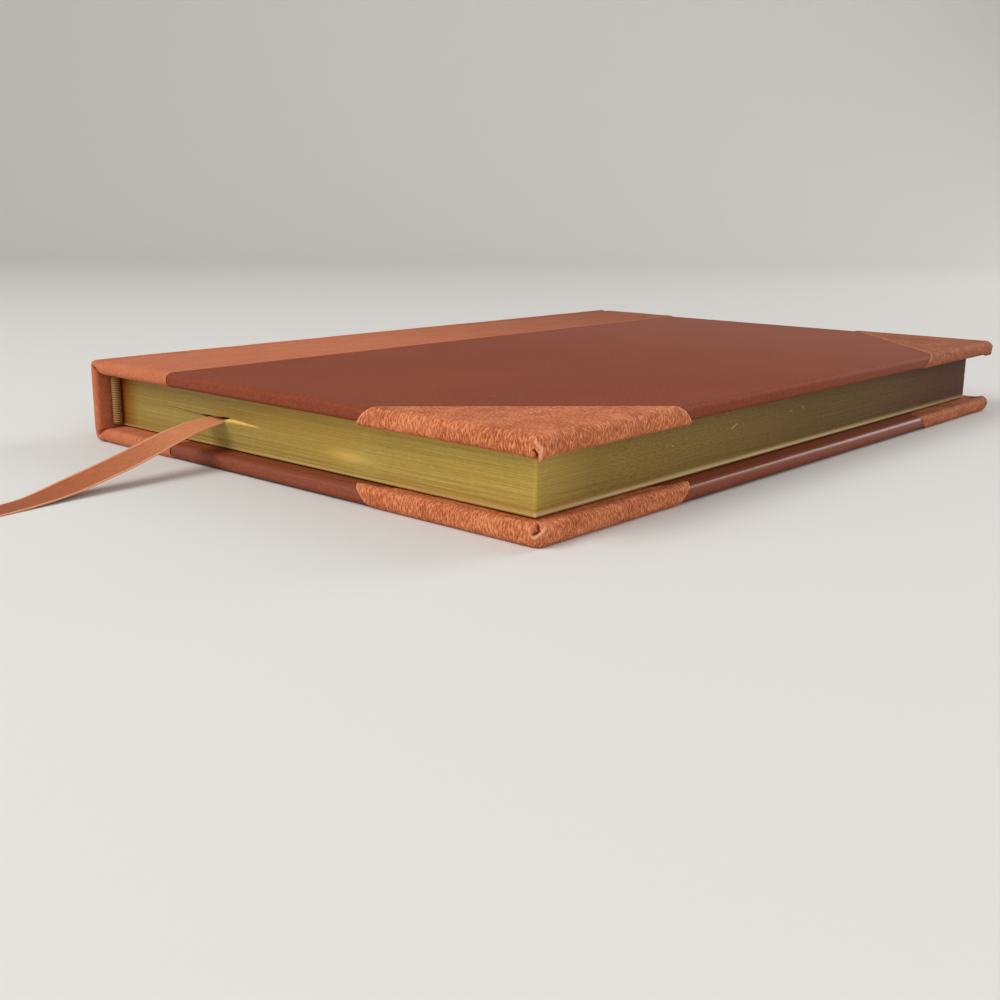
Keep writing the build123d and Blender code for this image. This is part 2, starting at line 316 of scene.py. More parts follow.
# Each scratch's y and z, slope in degrees, half length and half width.
gilt_scratches = (
    (-0.0322, 0.0125, 23, 0.0018, 0.00011),
    (-0.0991, 0.0127, 17, 0.0010, 0.00008),
    (-0.0006, 0.0131, 80, 0.0006, 0.00014),
    (-0.0571, 0.0114, 5, 0.0004, 0.00015),
    (-0.0066, 0.0128, 5, 0.0004, 0.00014),
)
gilt, add, shader, coordinates = new_material("gilt paper edge")
layers = []
for per_metre, detail in ((leaf_lines_per_metre, 4.0), (grains_per_metre, 3.0)):
    stretched = add("ShaderNodeMapping", {"Vector": coordinates, "Scale": per_metre})
    layers.append(
        add(
            "ShaderNodeTexNoise",
            {"Vector": stretched, "Scale": 1.0, "Detail": detail, "Roughness": 0.6},
        )
    )
rubbed_and_highlight, bare, dull_and_painted_shade, painted_reflection = (
    add("ShaderNodeAttribute", attribute_name=label).outputs["Fac"]
    for label in ("rubbed_and_highlight", "bare", "dull_and_painted_shade", "painted_reflection")
)
grained = add(
    "ShaderNodeMapRange",
    {"Value": dull_and_painted_shade, "From Min": 0.42, "From Max": 0.6, "To Min": 0.3, "To Max": 0.85},
)
leaves = add("ShaderNodeMix", {"Factor": grained, 2: layers[0], 3: layers[1]})
gold = add("ShaderNodeValToRGB", {"Fac": leaves})
ramp_stops(gold, [(0.3, "#A58A3C"), (0.5, "#BEA34F"), (0.7, "#D5BF70")])
warmth = add(
    "ShaderNodeTexNoise",
    {"Vector": coordinates, "Scale": 1 / warm_patch_size, "Detail": 2.0, "Roughness": 0.5},
)
warm = add(
    "ShaderNodeMapRange", {"Value": warmth, "From Min": 0.5, "From Max": 0.75, "To Max": 0.45}
)
# Pale gold from rubbing and scratches, and from the painted highlight and glint.
worn_and_highlight = rubbed_and_highlight
for scratch_y, scratch_z, slope, half_length, half_width in gilt_scratches:
    stroke = add(
        "ShaderNodeMapping",
        {
            "Vector": coordinates,
            "Location": (page_high[0], scratch_y, scratch_z),
            "Rotation": (np.radians(slope), 0.0, 0.0),
            "Scale": (scratch_reach, half_length, half_width),
        },
        vector_type="TEXTURE",
    )
    off = add("ShaderNodeVectorMath", {0: stroke}, operation="LENGTH")
    mark = add(
        "ShaderNodeMapRange",
        {"Value": off.outputs["Value"], "From Min": 1.0, "From Max": 0.5, "To Max": 0.9},
    )
    worn_and_highlight = add("ShaderNodeMath", {0: worn_and_highlight, 1: mark}, operation="MAXIMUM")
colour = gold
# The dull multiply is painted shade, the stain multiply a painted reflection of the leather, and the
# pale gold is rubbing with a painted highlight and glint.
for share, over, blend in (
    (warm, "#C39638", "MIX"),
    (dull_and_painted_shade, "#6E5228", "MULTIPLY"),
    (painted_reflection, "#F0A868", "MULTIPLY"),
    (worn_and_highlight, "#EEC766", "MIX"),
    (bare, "#E9DCB8", "MIX"),
):
    colour = add(
        "ShaderNodeMix",
        {"Factor": share, 6: colour, 7: hex_colour(over)},
        data_type="RGBA",
        blend_type=blend,
    ).outputs[2]
unworn = add("ShaderNodeMapRange", {"Value": worn_and_highlight, "To Min": 0.55, "To Max": 0.2})
bright = add("ShaderNodeMapRange", {"Value": dull_and_painted_shade, "To Min": 1.0, "To Max": 0.2})
film = add("ShaderNodeMath", {0: unworn, 1: bright}, operation="MULTIPLY")
polish = add(
    "ShaderNodeMapRange",
    {"Value": dull_and_painted_shade, "From Min": 0.42, "From Max": 1.0, "To Min": 0.38, "To Max": 0.62},
)
relief = add("ShaderNodeBump", {"Height": leaves, "Strength": 0.22, "Distance": 0.00008})
set_inputs(
    shader,
    {
        "Base Color": colour,
        "Metallic": film,
        "Roughness": polish,
        "Normal": relief,
        "Specular IOR Level": 0.2,
    },
)

pages = new_piece("gilt_pages", *page_block())
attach(pages, "book_block")
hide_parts("text_block")


# Endpapers: one folded sheet at each end of the block. Its free leaf lies on the pages,
# its other leaf is pasted to the cover, and the fold between them is the inner hinge.
endpaper_thickness, bend_slack = 0.00022, 1.05
leaf_rows, fold_rows, leaf_columns = 11, 24, 16


def folded_sheet(fly_box, paste_box, side):
    """A sheet that runs in over the pages, round a half-circle fold and out on the cover.

    The profile is carried along the spine, and its half height eases between leaves."""
    fly_low, fly_high = np.array(fly_box)
    paste_low, paste_high = np.array(paste_box)
    fly_z, paste_z = (fly_low[2] + fly_high[2]) / 2, (paste_low[2] + paste_high[2]) / 2
    radius = abs(paste_z - fly_z) / 2
    turn = np.linspace(0, np.pi, fold_rows)
    fold_x = fly_low[0] + radius - radius * np.sin(turn)
    fold_z = (fly_z + paste_z) / 2 - side * radius * np.cos(turn)
    share = np.linspace(0, 1, leaf_rows + 1)
    fly_x = fly_high[0] + (fold_x[0] - fly_high[0]) * share[:-1]
    paste_x = fold_x[-1] + (paste_high[0] - fold_x[-1]) * share[1:]
    x = np.concatenate((fly_x, fold_x, paste_x))
    z = np.concatenate((np.full(leaf_rows, fly_z), fold_z, np.full(leaf_rows, paste_z)))
    fold_ends = (leaf_rows, leaf_rows + fold_rows - 1)
    half = np.interp(np.arange(len(x)), fold_ends, (fly_high[1], paste_high[1]))
    across = np.linspace(-1, 1, leaf_columns)
    points = on_grid(x[:, None], half[:, None] * across, z[:, None])
    return points, grid_faces(len(x), leaf_columns, flip=side > 0), fly_z, paste_z


def thicken(piece, thickness, offset, rim_material=0):
    """Gives a sheet its thickness for good, and creases the edges where it was cut."""
    solid = piece.modifiers.new("thickness", "SOLIDIFY")
    solid.thickness = thickness
    solid.offset = offset
    solid.material_offset_rim = rim_material
    context = bpy.context.evaluated_depsgraph_get()
    thin = piece.data
    piece.data = bpy.data.meshes.new_from_object(
        piece.evaluated_get(context), preserve_all_data_layers=True, depsgraph=context
    )
    piece.data.name = piece.name
    piece.data.set_sharp_from_angle(angle=crease_angle)
    piece.modifiers.clear()
    bpy.data.meshes.remove(thin)


# Endpaper: uncoated cream stock, dry and matt, with a faint fibre mottle 1.1 mm across.
mottles_per_metre = 900.0
endpaper, add, shader, coordinates = new_material("cream uncoated paper")
fibres = add(
    "ShaderNodeTexNoise",
    {"Vector": coordinates, "Scale": mottles_per_metre, "Detail": 5.0, "Roughness": 0.6},
)
tint = add("ShaderNodeValToRGB", {"Fac": fibres})
ramp_stops(tint, [(0.3, "#D3C29B"), (0.7, "#DED0AC")])
tooth = add("ShaderNodeBump", {"Height": fibres, "Strength": 0.25, "Distance": 0.0001})
set_inputs(shader, {"Base Color": tint, "Normal": tooth, "Roughness": 0.85})

for cover, side in (("front", 1), ("back", -1)):
    points, faces, fly_z, paste_z = folded_sheet(
        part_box(f"{cover}_flyleaf"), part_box(f"{cover}_pastedown"), side
    )
    sheet = new_piece(f"{cover}_endpaper", points, faces, endpaper)
    sheet.data.materials.append(gilt)
    thicken(sheet, endpaper_thickness, 0, rim_material=1)
    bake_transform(sheet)
    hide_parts(f"{cover}_flyleaf", f"{cover}_pastedown")


# Headbands: a cord core wound with silk, sewn on a tape that is glued over the ends of
# the page folds at the head and the tail.
bead_radius, bead_tip, bead_taper = 0.0012, 0.4, 14
bead_rows, bead_columns = 160, 28
thread_pitch, thread_swell, thread_roundness = 0.0006, 0.0001, 0.7
tape_lap, tape_corner_radius, tape_spacing, tape_shade = 0.0003, 0.0001, 0.001, 0.55


def wound_bead(x, y, low, high):
    """A tube up the folds, swollen by a rounded thread at each pitch of a slow helix.

    The radius falls to a smaller tip on a quarter circle near each end."""
    turn = np.linspace(0, 2 * np.pi, bead_columns, endpoint=False)
    height = np.linspace(0, 1, bead_rows)[:, None]
    z = low + height * (high - low)
    winding = np.abs(np.sin(np.pi * (z / thread_pitch + turn / (2 * np.pi))))
    past = np.clip(np.abs(2 * height - 1) * bead_taper - (bead_taper - 1), 0, 1)
    ends = np.sqrt(np.clip(1 - past**2, 0, 1))
    radius = bead_radius - thread_swell + thread_swell * winding**thread_roundness
    radius = radius * (bead_tip + (1 - bead_tip) * ends)
    points = on_grid(x + radius * np.cos(turn), y + radius * np.sin(turn), z)
    return points.reshape(-1, 3), tube_faces(bead_rows, bead_columns), winding.reshape(-1)


def tape_slab(low, high):
    """A flat tape: a rounded outline carried up through the thickness of the folds."""
    outline, _ = rounded_outline(low[:2], high[:2], tape_corner_radius, tape_spacing)
    levels = np.array((low[2], high[2]))
    points = on_grid(outline[None, :, 0], outline[None, :, 1], levels[:, None])
    return points.reshape(-1, 3), tube_faces(2, len(outline))


# Silk thread: lustrous gold strands, with painted shade, dark brown, in the furrows where
# they meet.
silk, add, shader, _ = new_material("wound silk thread")
# Painted shade: the ramp darkens the thread where the winding dips.
painted_crease_shade = add("ShaderNodeAttribute", attribute_name="winding")
strand = add("ShaderNodeValToRGB", {"Fac": painted_crease_shade.outputs["Fac"]})
ramp_stops(strand, [(0.2, "#4E3212"), (0.6, "#7E5824"), (0.95, "#A67C3E")])
set_inputs(shader, {"Base Color": strand, "Roughness": 0.5})

for end, side in (("tail", -1), ("head", 1)):
    node_low, node_high = np.array(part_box(f"headband_{end}"))
    bead_x = page_low[0] + bead_radius - tape_lap
    bead_y = side * (page_high[1] + bead_radius)
    points, faces, winding = wound_bead(bead_x, bead_y, node_low[2], node_high[2])
    tape_low, tape_high = node_low.copy(), node_high.copy()
    tape_high[0] = page_low[0]
    tape_low[1] = max(node_low[1], bead_y) if side < 0 else node_low[1]
    tape_high[1] = node_high[1] if side < 0 else min(node_high[1], bead_y)
    tape_points, tape_faces = tape_slab(tape_low, tape_high)
    faces += [[index + len(points) for index in face] for face in tape_faces]
    winding = np.concatenate((winding, np.full(len(tape_points), tape_shade)))
    band = new_piece(
        f"wound_headband_{end}",
        np.concatenate((points, tape_points)),
        faces,
        silk,
        {"winding": winding},
    )
    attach(band, "book_block")
    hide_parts(f"headband_{end}")


# Boards, linings and the spine's strip: grey pulp board, manila card and open cloth that
# the leather covers. They keep the frame's shape.
def plain_stock(name, dark, light, fibre, roughness):
    """A dry sheet stock: a fine mottle between two shades, and a slight tooth."""
    material, add, shader, coordinates = new_material(name)
    mottle = add(
        "ShaderNodeTexNoise",
        {"Vector": coordinates, "Scale": 1 / fibre, "Detail": 4.0, "Roughness": 0.6},
    )
    shade = add("ShaderNodeValToRGB", {"Fac": mottle})
    ramp_stops(shade, [(0.35, dark), (0.65, light)])
    tooth = add("ShaderNodeBump", {"Height": mottle, "Strength": 0.3, "Distance": fibre / 5})
    set_inputs(shader, {"Base Color": shade, "Normal": tooth, "Roughness": roughness})
    return material


greyboard = plain_stock("grey pulp board", "#7C756B", "#9A938A", 0.0008, 0.9)
manila = plain_stock("manila card", "#AE9C78", "#C6B591", 0.0006, 0.85)
mull = plain_stock("open mull cloth", "#B9AB8C", "#D8CCB0", 0.0005, 0.95)
stock_of_node = {"spine_lining": mull, "spine_strip": manila}
for cover in ("front", "back"):
    stock_of_node[f"{cover}_board"] = greyboard
    stock_of_node[f"{cover}_board_lining"] = manila
for node, stock in stock_of_node.items():
    frame["nodes"][node].data.materials.clear()
    frame["nodes"][node].data.materials.append(stock)


# Spine leather: one tan skin round the square back, through both joint grooves and
# 35 mm on to each cover, turned in at the head and tail, made as one half for each cover.
book_low, book_high = np.array(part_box("spine_leather"))
spine_x, book_thickness = book_low[0], book_high[2]
half_height = book_high[1]
fore_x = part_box("front_corner_tail")[1][0]
strip_border_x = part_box("front_spine_leather")[1][0]
board_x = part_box("front_board")[0][0]
cover_thickness = book_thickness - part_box("front_corner_tail")[0][2]
hinge_x = frame["joints"][0]["pos_m"][0]
spine_wall, joint_wall, joint_start, board_lap = 0.003, 0.0016, 0.0016, 0.001
thinning_from, thinning_to = 0.0022, 0.0004
front_edge_radius, back_edge_radius = 0.0028, 0.0036
front_groove, back_groove, groove_width = 0.0006, 0.0003, 0.0017
groove_thinning, lip_thinning = 0.6, 2
edge_radius, inner_radius = 0.0018, 0.0014
outer_share, inner_share = 0.6, 0.4
turn_in = 0.014
skin_thickness = 0.0006
cut_lip = 0.00035
back_rows, edge_rows, joint_rows, cover_rows, lip_rows = 22, 14, 40, 50, 7
arc_columns, under_columns, spine_columns = 9, 8, 150
swell_height, swell_across, swell_along, swell_seed = 0.00005, 0.006, 0.009, 11
swell_fade, wrap_fade = 0.002, 0.004
border_pale, border_pale_width = 0.25, 0.0003
# Painted shade: the spine's skin darker towards the head.
spine_painted_head_shade = 0.8


def ease(value, low, high):
    """0 below low and 1 above high, with a smooth step between."""
    share = np.clip((value - low) / (high - low), 0, 1)
    return share * share * (3 - 2 * share)


def cut_roll(distance, lip):
    """How far a cut edge rounds down, from a quarter circle as wide as the lip."""
    share = np.clip(1 - distance / lip, 0, 1)
    return lip * (1 - np.sqrt(1 - share**2))


def spine_profile(corner, groove):
    """Outer line of half the spine's section, its normals and its wall thickness.

    It goes up the back, round the edge, through the groove, a bell curve, and out to the
    cut border. The wall is thin at the joint and as thick as the cover beyond it."""
    back_z = np.linspace(book_thickness / 2, book_thickness - corner, back_rows)[:-1]
    turn = np.pi - np.linspace(0, np.pi / 2, edge_rows)
    lip_turn = np.linspace(0, np.pi / 2, lip_rows)[1:]
    top_x = np.concatenate(
        (
            np.linspace(spine_x + corner, board_x + board_lap, joint_rows)[1:-1],
            np.linspace(board_x + board_lap, strip_border_x - cut_lip, cover_rows),
            strip_border_x - cut_lip + cut_lip * np.sin(lip_turn),
        )
    )
    dip = groove * np.exp(-(((top_x - hinge_x) / (groove_width / 2)) ** 2))
    roll = cut_roll(strip_border_x - top_x, cut_lip)
    top_z = book_thickness - dip - roll
    x = np.concatenate(
        (np.full(len(back_z), spine_x), spine_x + corner * (1 + np.cos(turn)), top_x)
    )
    edge_z = book_thickness - corner * (1 - np.sin(turn))
    z = np.concatenate((back_z, edge_z, top_z))
    normal = np.stack(
        (
            np.concatenate((np.full(len(back_z), -1.0), np.cos(turn), np.zeros(len(top_x)))),
            np.concatenate((np.zeros(len(back_z)), np.sin(turn), np.ones(len(top_x)))),
        ),
        axis=-1,
    )
    thinned = ease(z, book_thickness - thinning_from, book_thickness - thinning_to)
    wall = spine_wall + (joint_wall - spine_wall) * thinned
    on_top = groove_thinning * dip + lip_thinning * roll
    wall = wall - np.concatenate((np.zeros(len(x) - len(on_top)), on_top))
    wall = wall + (cover_thickness - joint_wall) * ease(x, spine_x + joint_start, board_x)
    return x, z, normal, wall


def end_wrap(wall):
    """The line that a skin follows over an end: out, round, and back in underneath.

    It gives each point's distance out past the turn-in's edge and its depth in the wall."""
    outer = np.minimum(edge_radius, outer_share * wall)[:, None]
    inner = np.minimum(inner_radius, inner_share * wall)[:, None]
    quarter = np.linspace(0, np.pi / 2, arc_columns)
    back = np.linspace(0, 1, under_columns)[1:]
    out = (
        -outer * (1 - np.sin(quarter)),
        -inner * (1 - np.cos(quarter)),
        -inner - back * (turn_in - inner),
    )
    depth = (
        outer * (1 - np.cos(quarter)),
        wall[:, None] - inner * (1 - np.sin(quarter)),
        np.repeat(wall[:, None], len(back), axis=1),
    )
    return np.concatenate(out, axis=1), np.concatenate(depth, axis=1)


def spine_half(side, corner, groove):
    """The spine's profile carried from head to tail, and wrapped over at both ends.

    A slow swell moves the outside in and out. The skin is painted darker towards the head,
    as shade."""
    x, z, normal, wall = spine_profile(corner, groove)
    out, depth = end_wrap(wall)
    middle = np.linspace(-1, 1, spine_columns)[1:-1] * (half_height - edge_radius)
    count = len(x)
    y = np.concatenate(
        (
            -(half_height + out[:, ::-1]),
            np.repeat(middle[None, :], count, axis=0),
            half_height + out,
        ),
        axis=1,
    )
    inward = np.concatenate((depth[:, ::-1], np.zeros((count, len(middle))), depth), axis=1)
    swell = swell_height * lattice_noise(
        (x[:, None] + 2 * z[:, None]) / swell_across, y / swell_along, swell_seed
    )
    swell = swell * (inward < edge_radius / 4)
    inward = inward - swell * ease(strip_border_x - x, 0, swell_fade)[:, None]
    px = x[:, None] - normal[:, 0:1] * inward
    pz = z[:, None] - normal[:, 1:2] * inward
    if side < 0:
        pz = book_thickness - pz
    length = np.concatenate(((0,), np.cumsum(np.hypot(np.diff(x), np.diff(z)))))
    end = np.abs(y) > half_height - 1.5 * edge_radius
    border = ease(x, strip_border_x - border_pale_width, strip_border_x)
    attributes = {
        "wrap": end * ease(x, board_x, board_x + wrap_fade)[:, None],
        "raw": border_pale * border[:, None],
        # Painted shade towards the head.
        "painted_head_shade": spine_painted_head_shade * ease(y, -half_height / 2, half_height),
    }
    uv = on_grid(length[:, None], np.sign(y) * (np.abs(y) + inward))
    return on_grid(px, y, pz), grid_faces(*y.shape, flip=side > 0), attributes, uv


def tan_leather(name, dark, middle, light, relief_strength, cloud_size):
    """Vegetable-tanned goatskin with an open grain and a short nap.

    Pits 0.5 mm apart are dark, and fibres over them pale. Where the skin is stretched
    over an edge both draw out across it, and the colour is painted paler there, as light on
    the edges. Clouds are what the dye left. Part of the skin is painted darker and greyer,
    as shade and haze. Raw cut edges are pale, and furrows are painted dark, as shade."""
    material, add, shader, coordinates = new_material(name)
    surface = add("ShaderNodeUVMap", uv_map="surface")
    wrap, raw, painted_crease_shade, painted_head_shade = (
        add("ShaderNodeAttribute", attribute_name=label).outputs["Fac"]
        for label in ("wrap", "raw", "painted_crease_shade", "painted_head_shade")
    )
    grains = []
    for place, dimensions, pit_size, fibre_size in (
        (coordinates, "3D", (0.0005, 0.0005, 0.0005), (0.00027, 0.00027, 0.00027)),
        (surface, "2D", (0.00038, 0.0011, 1.0), (0.00018, 0.0008, 1.0)),
    ):
        pit_place, fibre_place = (
            add("ShaderNodeMapping", {"Vector": place, "Scale": size}, vector_type="TEXTURE")
            for size in (pit_size, fibre_size)
        )
        wander = add(
            "ShaderNodeTexNoise",
            {"Vector": pit_place, "Scale": 1.6, "Detail": 3.0},
            noise_dimensions=dimensions,
        )
        moved = add(
            "ShaderNodeVectorMath",
            {0: wander.outputs["Color"], 1: (1.3, 1.3, 1.3), 2: pit_place},
            operation="MULTIPLY_ADD",
        )
        pits = add(
            "ShaderNodeTexVoronoi",
            {"Vector": moved, "Scale": 1.0, "Smoothness": 0.6},
            voronoi_dimensions=dimensions,
            feature="SMOOTH_F1",
        )
        fibre_look = {"Scale": 1.0, "Detail": 5.0, "Roughness": 0.7, "Distortion": 0.8}
        fibre = add(
            "ShaderNodeTexNoise",
            {"Vector": fibre_place, **fibre_look},
            noise_dimensions=dimensions,
        )
        grains.append(
            add("ShaderNodeMath", {0: pits, 1: 0.55, 2: fibre}, operation="MULTIPLY_ADD")
        )
    grain = add("ShaderNodeMix", {"Factor": wrap, 2: grains[0], 3: grains[1]})
    clouded = add(
        "ShaderNodeMapping", {"Vector": coordinates, "Scale": cloud_size}, vector_type="TEXTURE"
    )
    clouds = add(
        "ShaderNodeTexNoise", {"Vector": clouded, "Scale": 1.0, "Detail": 4.0, "Roughness": 0.6}
    )
    shade = grain
    # The wrap term paints the skin paler over the edges, as light on them.
    for share, strength in ((clouds, 0.5), (wrap, 0.07)):
        shade = add("ShaderNodeMath", {0: share, 1: strength, 2: shade}, operation="MULTIPLY_ADD")
    level = add("ShaderNodeMapRange", {"Value": shade, "From Min": 0.48, "From Max": 1.36})
    colour = add("ShaderNodeValToRGB", {"Fac": level})
    ramp_stops(colour, [(0.15, dark), (0.5, middle), (0.85, light)])
    # Painted shade and haze towards the head, pale raw edges, and painted shade in the furrows.
    for share, over, blend in (
        (painted_head_shade, "#BDB8BA", "MULTIPLY"),
        (raw, "#E8A67C", "MIX"),
        (painted_crease_shade, "#452010", "MIX"),
    ):
        colour = add(
            "ShaderNodeMix",
            {"Factor": share, 6: colour, 7: hex_colour(over)},
            data_type="RGBA",
            blend_type=blend,
        ).outputs[2]
    relief = add(
        "ShaderNodeBump", {"Height": grain, "Strength": relief_strength, "Distance": 0.00016}
    )
    matt = {"Roughness": 0.72, "Specular IOR Level": 0.15}
    set_inputs(shader, {"Base Color": colour, "Normal": relief, **matt})
    return material


spine_skin = tan_leather(
    "tan goatskin on the spine", "#A05838", "#B36543", "#C37450", 0.2, (0.004, 0.013, 0.004)
)
for cover, side, corner, groove in (
    ("front", 1, front_edge_radius, front_groove),
    ("back", -1, back_edge_radius, back_groove),
):
    points, faces, attributes, uv = spine_half(side, corner, groove)
    skin = new_piece(f"{cover}_half_of_spine_leather", points, faces, spine_skin, attributes, uv)
    thicken(skin, skin_thickness, -1)
    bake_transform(skin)
    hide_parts(f"{cover}_spine_leather", "spine_leather")


# Sides: thin, smooth red-brown calf between the spine leather and the corners, turned in
# over the boards' outer edges. They keep the frame's shape.
pore_size, dye_cloud_size, dust_spacing = 0.0006, 0.025, 0.006
burnish_from, burnish_to = 0.0024, 0.0012
burnish_low, burnish_high = 0.0012, 0.0026

# Calf: a close, even grain under a thin waxed coat, which is burnished on the edges, most
# on the cover that the book lies on, with clouds in the dye and a few specks of dust. A
# painted lilac-grey sheen lightens it towards the head.
calf, add, shader, coordinates = new_material("smooth brown calfskin")
pores = add(
    "ShaderNodeTexNoise",
    {"Vector": coordinates, "Scale": 1 / pore_size, "Detail": 4.0, "Roughness": 0.6},
)
clouds = add(
    "ShaderNodeTexNoise",
    {"Vector": coordinates, "Scale": 1 / dye_cloud_size, "Detail": 5.0, "Roughness": 0.5},
)
dye = add("ShaderNodeValToRGB", {"Fac": clouds})
ramp_stops(dye, [(0.3, "#9A513A"), (0.55, "#9E543B"), (0.8, "#A2563C")])
skin_relief = add("ShaderNodeBump", {"Height": pores, "Strength": 0.12, "Distance": 0.0002})
flecks = add(
    "ShaderNodeTexVoronoi", {"Vector": coordinates, "Scale": 1 / dust_spacing, "Randomness": 1.0}
)
fleck = add(
    "ShaderNodeMapRange", {"Value": flecks, "From Min": 0.045, "From Max": 0.03, "To Max": 0.6}
)
pore = add(
    "ShaderNodeMix",
    {"Factor": pores, 6: hex_colour("#9C8A84"), 7: hex_colour("#FFFFFF")},
    data_type="RGBA",
)
place = add("ShaderNodeSeparateXYZ", {"Vector": coordinates})
# Painted sheen: paler lilac-grey towards the head.
painted_sheen_to_head = add(
    "ShaderNodeMapRange",
    {
        "Value": place.outputs["Y"],
        "From Min": -0.2 * half_height,
        "From Max": 0.8 * half_height,
        "To Max": 0.26,
    },
)
colour = dye
for share, over, blend in (
    (1.0, pore.outputs[2], "MULTIPLY"),
    (fleck, hex_colour("#C9A093"), "MIX"),
    (painted_sheen_to_head, hex_colour("#9C6A5E"), "MIX"),
):
    colour = add(
        "ShaderNodeMix", {"Factor": share, 6: colour, 7: over}, data_type="RGBA", blend_type=blend
    ).outputs[2]
beyond = add("ShaderNodeMath", {0: place.outputs["Y"]}, operation="ABSOLUTE")
rubs = [
    add(
        "ShaderNodeMapRange",
        {"Value": distance, "From Min": edge - burnish_from, "From Max": edge - burnish_to},
    )
    for distance, edge in ((place.outputs["X"], fore_x), (beyond, half_height))
]
burnish = add("ShaderNodeMath", {0: rubs[0], 1: rubs[1]}, operation="MAXIMUM")
lying = add(
    "ShaderNodeMapRange",
    {
        "Value": place.outputs["Z"],
        "From Min": page_high[2],
        "From Max": page_low[2],
        "To Max": 0.5,
    },
)
upper = add(
    "ShaderNodeMapRange",
    {
        "Value": place.outputs["Z"],
        "From Min": burnish_low,
        "From Max": burnish_high,
        "To Min": 0.15,
    },
)
rubbed_up = add("ShaderNodeMath", {0: burnish, 1: upper}, operation="MULTIPLY")
waxed = add("ShaderNodeMath", {0: rubbed_up, 1: lying, 2: 0.03}, operation="MULTIPLY_ADD")
set_inputs(
    shader,
    {
        "Base Color": colour,
        "Normal": skin_relief,
        "Roughness": 0.56,
        "Specular IOR Level": 0.015,
        "Coat Weight": waxed,
        "Coat Roughness": 0.3,
    },
)
for cover in ("front", "back"):
    panel = frame["nodes"][f"{cover}_side_panel"]
    panel.data.materials.clear()
    panel.data.materials.append(calf)


# Corners: tan skin cut straight across, stretched over each outer corner of the boards,
# turned in on both edges and pleated at the tip.
corner_leg = 0.046
corner_radius = 0.0026
straight_columns, tip_columns = 130, 46
face_rows, arc_rows, flat_rows, tuck_rows = 30, 18, 9, 17
face_crowding, tuck_crowding = 1.6, 1.5
gap_rise = (0.0006, 0.0018)
cut_bulge, cut_pale = 0.0009, (0.0002, 0.0006)
stretch_rise, stretch_fade, face_stretch = (-0.0005, 0.0012), 0.003, 0.35
wrinkle_height = 0.00004
crease_width, crease_length = 0.00045, 0.0025
fine_crease_width, fine_crease_length = 0.0002, 0.0015
padding_width = 0.0048
pleat_bulk, pleat_spread = 0.0004, 0.0026
bulk_rise, bulk_fall = (0.0022, 0.0050), (0.0070, 0.0105)
# Strokes of each pleat in millimetres, along the edge from the tip and over from the face,
# with each stroke's width, height and paleness. A furrow has a negative height.
front_pleat = (
    (((-0.75, 2.3), (0.35, 3.6), (0.1, 6.0)), 0.32, 0.25, 0.75),
    (((-1.05, 3.95), (-0.45, 4.6), (-0.6, 5.3), (-1.5, 5.9)), 0.30, -0.9, 0.0),
    (((-1.2, 4.75), (-1.3, 4.9)), 0.45, 0.2, 0.1),
)
back_pleat = (
    (((-1.75, 4.75), (-1.2, 3.6), (-0.7, 3.2)), 0.30, 0.2, 0.65),
    (((-0.6, 3.2), (1.2, 4.9)), 0.30, 0.25, 0.75),
    (((-0.05, 5.85), (0.15, 4.6), (-0.25, 4.15), (-1.0, 3.85)), 0.28, -0.9, 0.0),
)


def stroke_field(along, over, corners, width):
    """1 on a line through the given corners, in millimetres, fading beside it as a bell."""
    nearest = np.full(along.shape, np.inf)
    for (u0, v0), (u1, v1) in zip(corners[:-1], corners[1:]):
        run = np.array((u1 - u0, v1 - v0))
        share = ((along - u0) * run[0] + (over - v0) * run[1]) / (run @ run)
        share = np.clip(share, 0, 1)
        off = np.hypot(along - u0 - share * run[0], over - v0 - share * run[1])
        nearest = np.minimum(nearest, off)
    return np.exp(-((nearest / width) ** 2))


